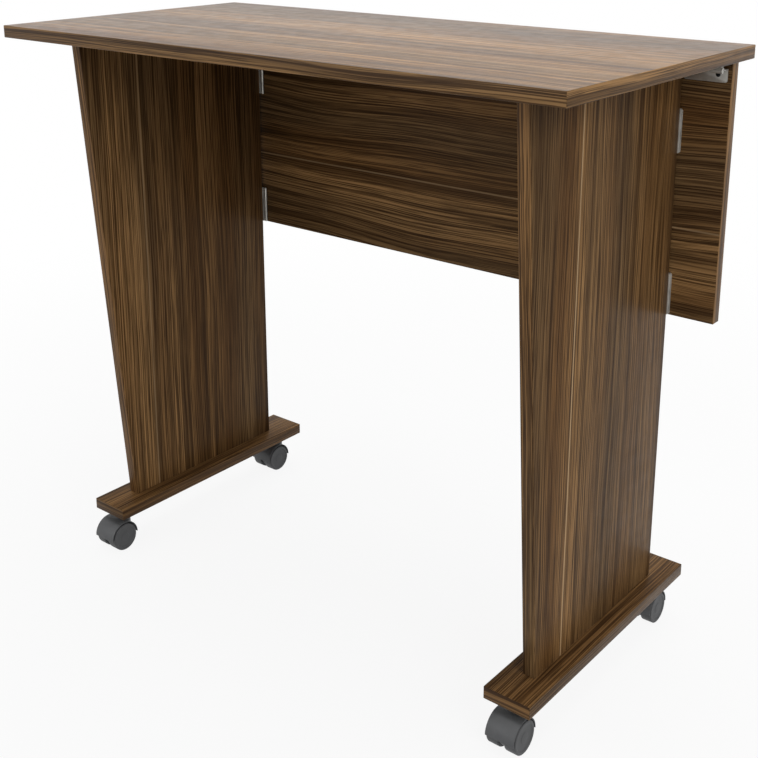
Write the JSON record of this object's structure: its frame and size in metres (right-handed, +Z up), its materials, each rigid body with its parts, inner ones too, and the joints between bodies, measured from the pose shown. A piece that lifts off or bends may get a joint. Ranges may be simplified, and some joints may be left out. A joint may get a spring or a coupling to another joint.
{
  "type": "typewriter table",
  "caption": "Slim folding work table: a board top over a back panel, with tapering leg panels that hinge flat against the panel and foot boards that roll on twin-wheel castors.",
  "frame": {"origin": "on the floor, under the middle of the bounding box", "axes": "+X along the top's length to the sitter's right, -Y towards the sitter, +Z up"},
  "size_m": [0.8, 0.408, 0.722],
  "materials": {
    "top_board": "satin walnut-grain laminate",
    "panel_board": "satin walnut-grain laminate",
    "leg_board": "satin walnut-grain laminate",
    "foot_board": "satin walnut-grain laminate",
    "zinc_steel": "zinc plated",
    "black_screw": "black oxide",
    "hood_plastic": "moulded, fine texture",
    "wheel_plastic": "moulded, fine texture"
  },
  "bodies": {
    "panel": {"back_panel": "panel_board", "left_upper_leg_hinge_panel_leaf": "zinc_steel", "left_upper_leg_hinge_pin": "zinc_steel", "left_lower_leg_hinge_panel_leaf": "zinc_steel", "left_lower_leg_hinge_pin": "zinc_steel", "left_top_hinge_panel_leaf": "zinc_steel", "left_top_hinge_pin": "zinc_steel", "left_top_hinge_panel_screw_1": "black_screw", "left_top_hinge_panel_screw_2": "black_screw", "right_upper_leg_hinge_panel_leaf": "zinc_steel", "right_upper_leg_hinge_pin": "zinc_steel", "right_lower_leg_hinge_panel_leaf": "zinc_steel", "right_lower_leg_hinge_pin": "zinc_steel", "right_top_hinge_panel_leaf": "zinc_steel", "right_top_hinge_pin": "zinc_steel", "right_top_hinge_panel_screw_1": "black_screw", "right_top_hinge_panel_screw_2": "black_screw"},
    "top": {"tabletop": "top_board", "left_top_hinge_top_leaf": "zinc_steel", "left_top_hinge_top_screw_1": "black_screw", "left_top_hinge_top_screw_2": "black_screw", "right_top_hinge_top_leaf": "zinc_steel", "right_top_hinge_top_screw_1": "black_screw", "right_top_hinge_top_screw_2": "black_screw"},
    "left_leg": {"left_leg_panel": "leg_board", "left_foot_board": "foot_board", "left_foot_screw_1": "zinc_steel", "left_foot_screw_2": "zinc_steel", "left_upper_leg_hinge_leg_leaf": "zinc_steel", "left_lower_leg_hinge_leg_leaf": "zinc_steel", "castor_front_left_plate": "zinc_steel", "castor_front_left_king_pin": "zinc_steel", "castor_rear_left_plate": "zinc_steel", "castor_rear_left_king_pin": "zinc_steel"},
    "right_leg": {"right_leg_panel": "leg_board", "right_foot_board": "foot_board", "right_foot_screw_1": "zinc_steel", "right_foot_screw_2": "zinc_steel", "right_upper_leg_hinge_leg_leaf": "zinc_steel", "right_lower_leg_hinge_leg_leaf": "zinc_steel", "castor_front_right_plate": "zinc_steel", "castor_front_right_king_pin": "zinc_steel", "castor_rear_right_plate": "zinc_steel", "castor_rear_right_king_pin": "zinc_steel"},
    "castor_front_left_swivel": {"castor_front_left_hood": "hood_plastic", "castor_front_left_axle": "zinc_steel"},
    "castor_front_left_inner_wheel_spin_body": {"castor_front_left_inner_wheel": "wheel_plastic"},
    "castor_front_left_outer_wheel_spin_body": {"castor_front_left_outer_wheel": "wheel_plastic"},
    "castor_rear_left_swivel": {"castor_rear_left_hood": "hood_plastic", "castor_rear_left_axle": "zinc_steel"},
    "castor_rear_left_inner_wheel_spin_body": {"castor_rear_left_inner_wheel": "wheel_plastic"},
    "castor_rear_left_outer_wheel_spin_body": {"castor_rear_left_outer_wheel": "wheel_plastic"},
    "castor_front_right_swivel": {"castor_front_right_hood": "hood_plastic", "castor_front_right_axle": "zinc_steel"},
    "castor_front_right_inner_wheel_spin_body": {"castor_front_right_inner_wheel": "wheel_plastic"},
    "castor_front_right_outer_wheel_spin_body": {"castor_front_right_outer_wheel": "wheel_plastic"},
    "castor_rear_right_swivel": {"castor_rear_right_hood": "hood_plastic", "castor_rear_right_axle": "zinc_steel"},
    "castor_rear_right_inner_wheel_spin_body": {"castor_rear_right_inner_wheel": "wheel_plastic"},
    "castor_rear_right_outer_wheel_spin_body": {"castor_rear_right_outer_wheel": "wheel_plastic"}
  },
  "joints": [
    {"name": "left_leg_fold", "type": "hinge", "parent": "panel", "child": "left_leg", "pos_m": [-0.3137, 0.1589, 0.53], "axis": [0, 0, 1], "range_deg": [0, 90]},
    {"name": "castor_front_left_swivel_turn", "type": "hinge", "parent": "left_leg", "child": "castor_front_left_swivel", "pos_m": [-0.326, -0.127, 0.044], "axis": [0, 0, 1], "continuous": true},
    {"name": "castor_front_left_inner_wheel_spin", "type": "hinge", "parent": "castor_front_left_swivel", "child": "castor_front_left_inner_wheel_spin_body", "pos_m": [-0.31475, -0.141, 0.019], "axis": [1, 0, 0], "continuous": true},
    {"name": "castor_front_left_outer_wheel_spin", "type": "hinge", "parent": "castor_front_left_swivel", "child": "castor_front_left_outer_wheel_spin_body", "pos_m": [-0.33725, -0.141, 0.019], "axis": [1, 0, 0], "continuous": true},
    {"name": "castor_rear_left_swivel_turn", "type": "hinge", "parent": "left_leg", "child": "castor_rear_left_swivel", "pos_m": [-0.326, 0.18, 0.044], "axis": [0, 0, 1], "continuous": true},
    {"name": "castor_rear_left_inner_wheel_spin", "type": "hinge", "parent": "castor_rear_left_swivel", "child": "castor_rear_left_inner_wheel_spin_body", "pos_m": [-0.31475, 0.166, 0.019], "axis": [1, 0, 0], "continuous": true},
    {"name": "castor_rear_left_outer_wheel_spin", "type": "hinge", "parent": "castor_rear_left_swivel", "child": "castor_rear_left_outer_wheel_spin_body", "pos_m": [-0.33725, 0.166, 0.019], "axis": [1, 0, 0], "continuous": true},
    {"name": "right_leg_fold", "type": "hinge", "parent": "panel", "child": "right_leg", "pos_m": [0.3137, 0.1589, 0.53], "axis": [0, 0, -1], "range_deg": [0, 90]},
    {"name": "castor_front_right_swivel_turn", "type": "hinge", "parent": "right_leg", "child": "castor_front_right_swivel", "pos_m": [0.326, -0.127, 0.044], "axis": [0, 0, 1], "continuous": true},
    {"name": "castor_front_right_inner_wheel_spin", "type": "hinge", "parent": "castor_front_right_swivel", "child": "castor_front_right_inner_wheel_spin_body", "pos_m": [0.31475, -0.141, 0.019], "axis": [1, 0, 0], "continuous": true},
    {"name": "castor_front_right_outer_wheel_spin", "type": "hinge", "parent": "castor_front_right_swivel", "child": "castor_front_right_outer_wheel_spin_body", "pos_m": [0.33725, -0.141, 0.019], "axis": [1, 0, 0], "continuous": true},
    {"name": "castor_rear_right_swivel_turn", "type": "hinge", "parent": "right_leg", "child": "castor_rear_right_swivel", "pos_m": [0.326, 0.18, 0.044], "axis": [0, 0, 1], "continuous": true},
    {"name": "castor_rear_right_inner_wheel_spin", "type": "hinge", "parent": "castor_rear_right_swivel", "child": "castor_rear_right_inner_wheel_spin_body", "pos_m": [0.31475, 0.166, 0.019], "axis": [1, 0, 0], "continuous": true},
    {"name": "castor_rear_right_outer_wheel_spin", "type": "hinge", "parent": "castor_rear_right_swivel", "child": "castor_rear_right_outer_wheel_spin_body", "pos_m": [0.33725, 0.166, 0.019], "axis": [1, 0, 0], "continuous": true},
    {"name": "tabletop_lift", "type": "hinge", "parent": "panel", "child": "top", "pos_m": [0, 0.1465, 0.697], "axis": [-1, 0, 0], "range_deg": [0, 4]}
  ]
}
